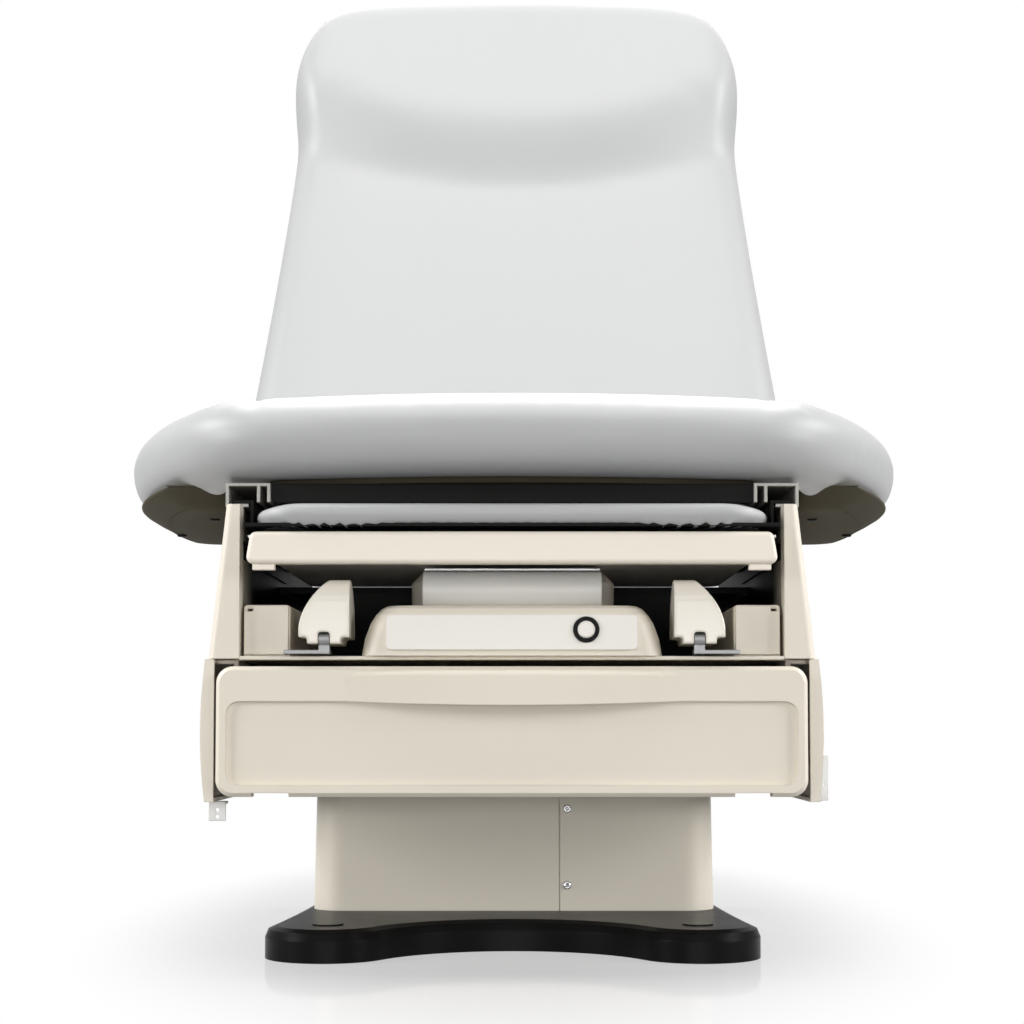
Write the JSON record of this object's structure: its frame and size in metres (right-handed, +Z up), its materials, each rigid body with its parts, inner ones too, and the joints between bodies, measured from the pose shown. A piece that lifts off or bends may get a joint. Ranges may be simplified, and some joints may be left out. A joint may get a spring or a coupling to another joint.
{
  "type": "power examination table",
  "caption": "Power examination table with a padded seat and raisable back on a telescopic column, with drawer, treatment pan, foot extension and pull-out stirrups.",
  "frame": {"origin": "on the floor, under the middle of the base", "axes": "+X to the viewer's right when facing the foot end, +Y towards the head end, +Z up"},
  "size_m": [0.7114, 1.023, 1.0637],
  "materials": {
    "upholstery": "soft matte vinyl",
    "cream_plastic": "fine-textured moulding",
    "gloss_cream": "gloss moulding",
    "white_plastic": "satin",
    "black_plastic": "fine-textured moulding",
    "black_steel": "satin black",
    "cream_paint": "satin cream enamel",
    "steel": "brushed",
    "board": "taupe painted plywood"
  },
  "bodies": {
    "base": {"base_plate": "black_steel", "base_cover": "black_plastic", "foot_plugs": "black_plastic", "column_cover_left": "cream_plastic", "column_cover_right": "cream_plastic", "column_cover_screws": "steel", "outer_guide_tube": "steel", "outer_glide_pads": "white_plastic", "lift_cylinder_outer": "steel", "lift_power_unit": "black_steel"},
    "lift_middle": {"middle_cover": "cream_plastic", "middle_guide_tube": "steel", "middle_glide_pads": "white_plastic", "lift_cylinder_middle": "steel"},
    "table_body": {"upper_cover": "cream_plastic", "inner_guide_tube": "steel", "lift_cylinder_inner": "steel", "frame_top_plate": "black_steel", "frame_side_plates": "cream_paint", "rear_crossmember": "black_steel", "rear_panel": "cream_plastic", "power_inlet": "black_plastic", "seat_board": "board", "seat_cushion": "upholstery", "seat_rails": "steel", "pan_guides": "black_steel", "side_cheeks": "cream_plastic", "side_skirts": "cream_plastic", "left_hook_bracket": "white_plastic", "right_accessory_plate": "white_plastic", "shelf": "cream_paint", "control_housing": "cream_plastic", "control_face": "white_plastic", "button_ring": "black_plastic", "heater_housing": "cream_plastic", "rolled_tag": "white_plastic", "tag_clip": "steel", "stirrup_housings": "cream_paint", "drawer_runner_channels": "steel", "hinge_pins": "steel", "control_box": "black_plastic"},
    "heater_button": {"heater_button": "white_plastic"},
    "drawer": {"drawer_front": "cream_plastic", "drawer_box": "cream_plastic", "drawer_runner_slides": "steel"},
    "foot_extension": {"foot_board": "black_steel", "foot_pad": "upholstery"},
    "treatment_pan": {"pan_front": "cream_plastic", "pan_tray": "white_plastic"},
    "stirrup_left": {"stirrup_bar_left": "steel"},
    "stirrup_right": {"stirrup_bar_right": "steel"},
    "heel_cup_left": {"heel_cup_left": "gloss_cream"},
    "heel_cup_right": {"heel_cup_right": "gloss_cream"},
    "back": {"back_board": "board", "back_frame": "black_steel", "back_cushion": "upholstery", "back_shell": "cream_plastic"},
    "actuator_rod": {"actuator_rod": "steel"},
    "actuator_body": {"actuator_body": "steel", "actuator_motor": "black_steel"}
  },
  "joints": [
    {"name": "lift", "type": "slide", "parent": "base", "child": "table_body", "axis": [0, 0, 1], "range_m": [0, 0.483]},
    {"name": "lift_middle", "type": "slide", "parent": "base", "child": "lift_middle", "axis": [0, 0, 1], "range_m": [0, 0.2415]},
    {"name": "back", "type": "hinge", "parent": "table_body", "child": "back", "pos_m": [0, 0, 0.41], "axis": [1, 0, 0], "range_deg": [-62, 18]},
    {"name": "rod_pivot", "type": "hinge", "parent": "back", "child": "actuator_rod", "pos_m": [0, 0.08043, 0.44198], "axis": [1, 0, 0], "range_deg": [-18, 62]},
    {"name": "actuator_extend", "type": "slide", "parent": "actuator_rod", "child": "actuator_body", "axis": [0, 0, 1], "range_m": [-0.026, 0.0885]},
    {"name": "drawer", "type": "slide", "parent": "table_body", "child": "drawer", "axis": [0, -1, 0], "range_m": [0, 0.19]},
    {"name": "foot_extension", "type": "slide", "parent": "table_body", "child": "foot_extension", "axis": [0, -1, 0], "range_m": [0, 0.4]},
    {"name": "treatment_pan", "type": "slide", "parent": "table_body", "child": "treatment_pan", "axis": [0, -1, 0], "range_m": [0, 0.24]},
    {"name": "stirrup_left", "type": "slide", "parent": "table_body", "child": "stirrup_left", "axis": [0, -1, 0], "range_m": [0, 0.3]},
    {"name": "stirrup_right", "type": "slide", "parent": "table_body", "child": "stirrup_right", "axis": [0, -1, 0], "range_m": [0, 0.3]},
    {"name": "heel_cup_left", "type": "hinge", "parent": "stirrup_left", "child": "heel_cup_left", "pos_m": [-0.144, -0.543, 0.259], "axis": [1, 0, 0], "range_deg": [0, 90]},
    {"name": "heel_cup_right", "type": "hinge", "parent": "stirrup_right", "child": "heel_cup_right", "pos_m": [0.144, -0.543, 0.259], "axis": [1, 0, 0], "range_deg": [0, 90]},
    {"name": "heater_button", "type": "slide", "parent": "table_body", "child": "heater_button", "axis": [0, 1, 0], "range_m": [0, 0.0025], "stiffness_N_per_m": 260, "springref_m": -0.0008}
  ],
  "couplings": [
    {"joint": "lift_middle", "follows": "lift", "ratio": 0.5},
    {"joint": "rod_pivot", "follows": "back", "ratio": -1},
    {"joint": "actuator_extend", "follows": "back", "m_per_rad": -0.0814}
  ]
}
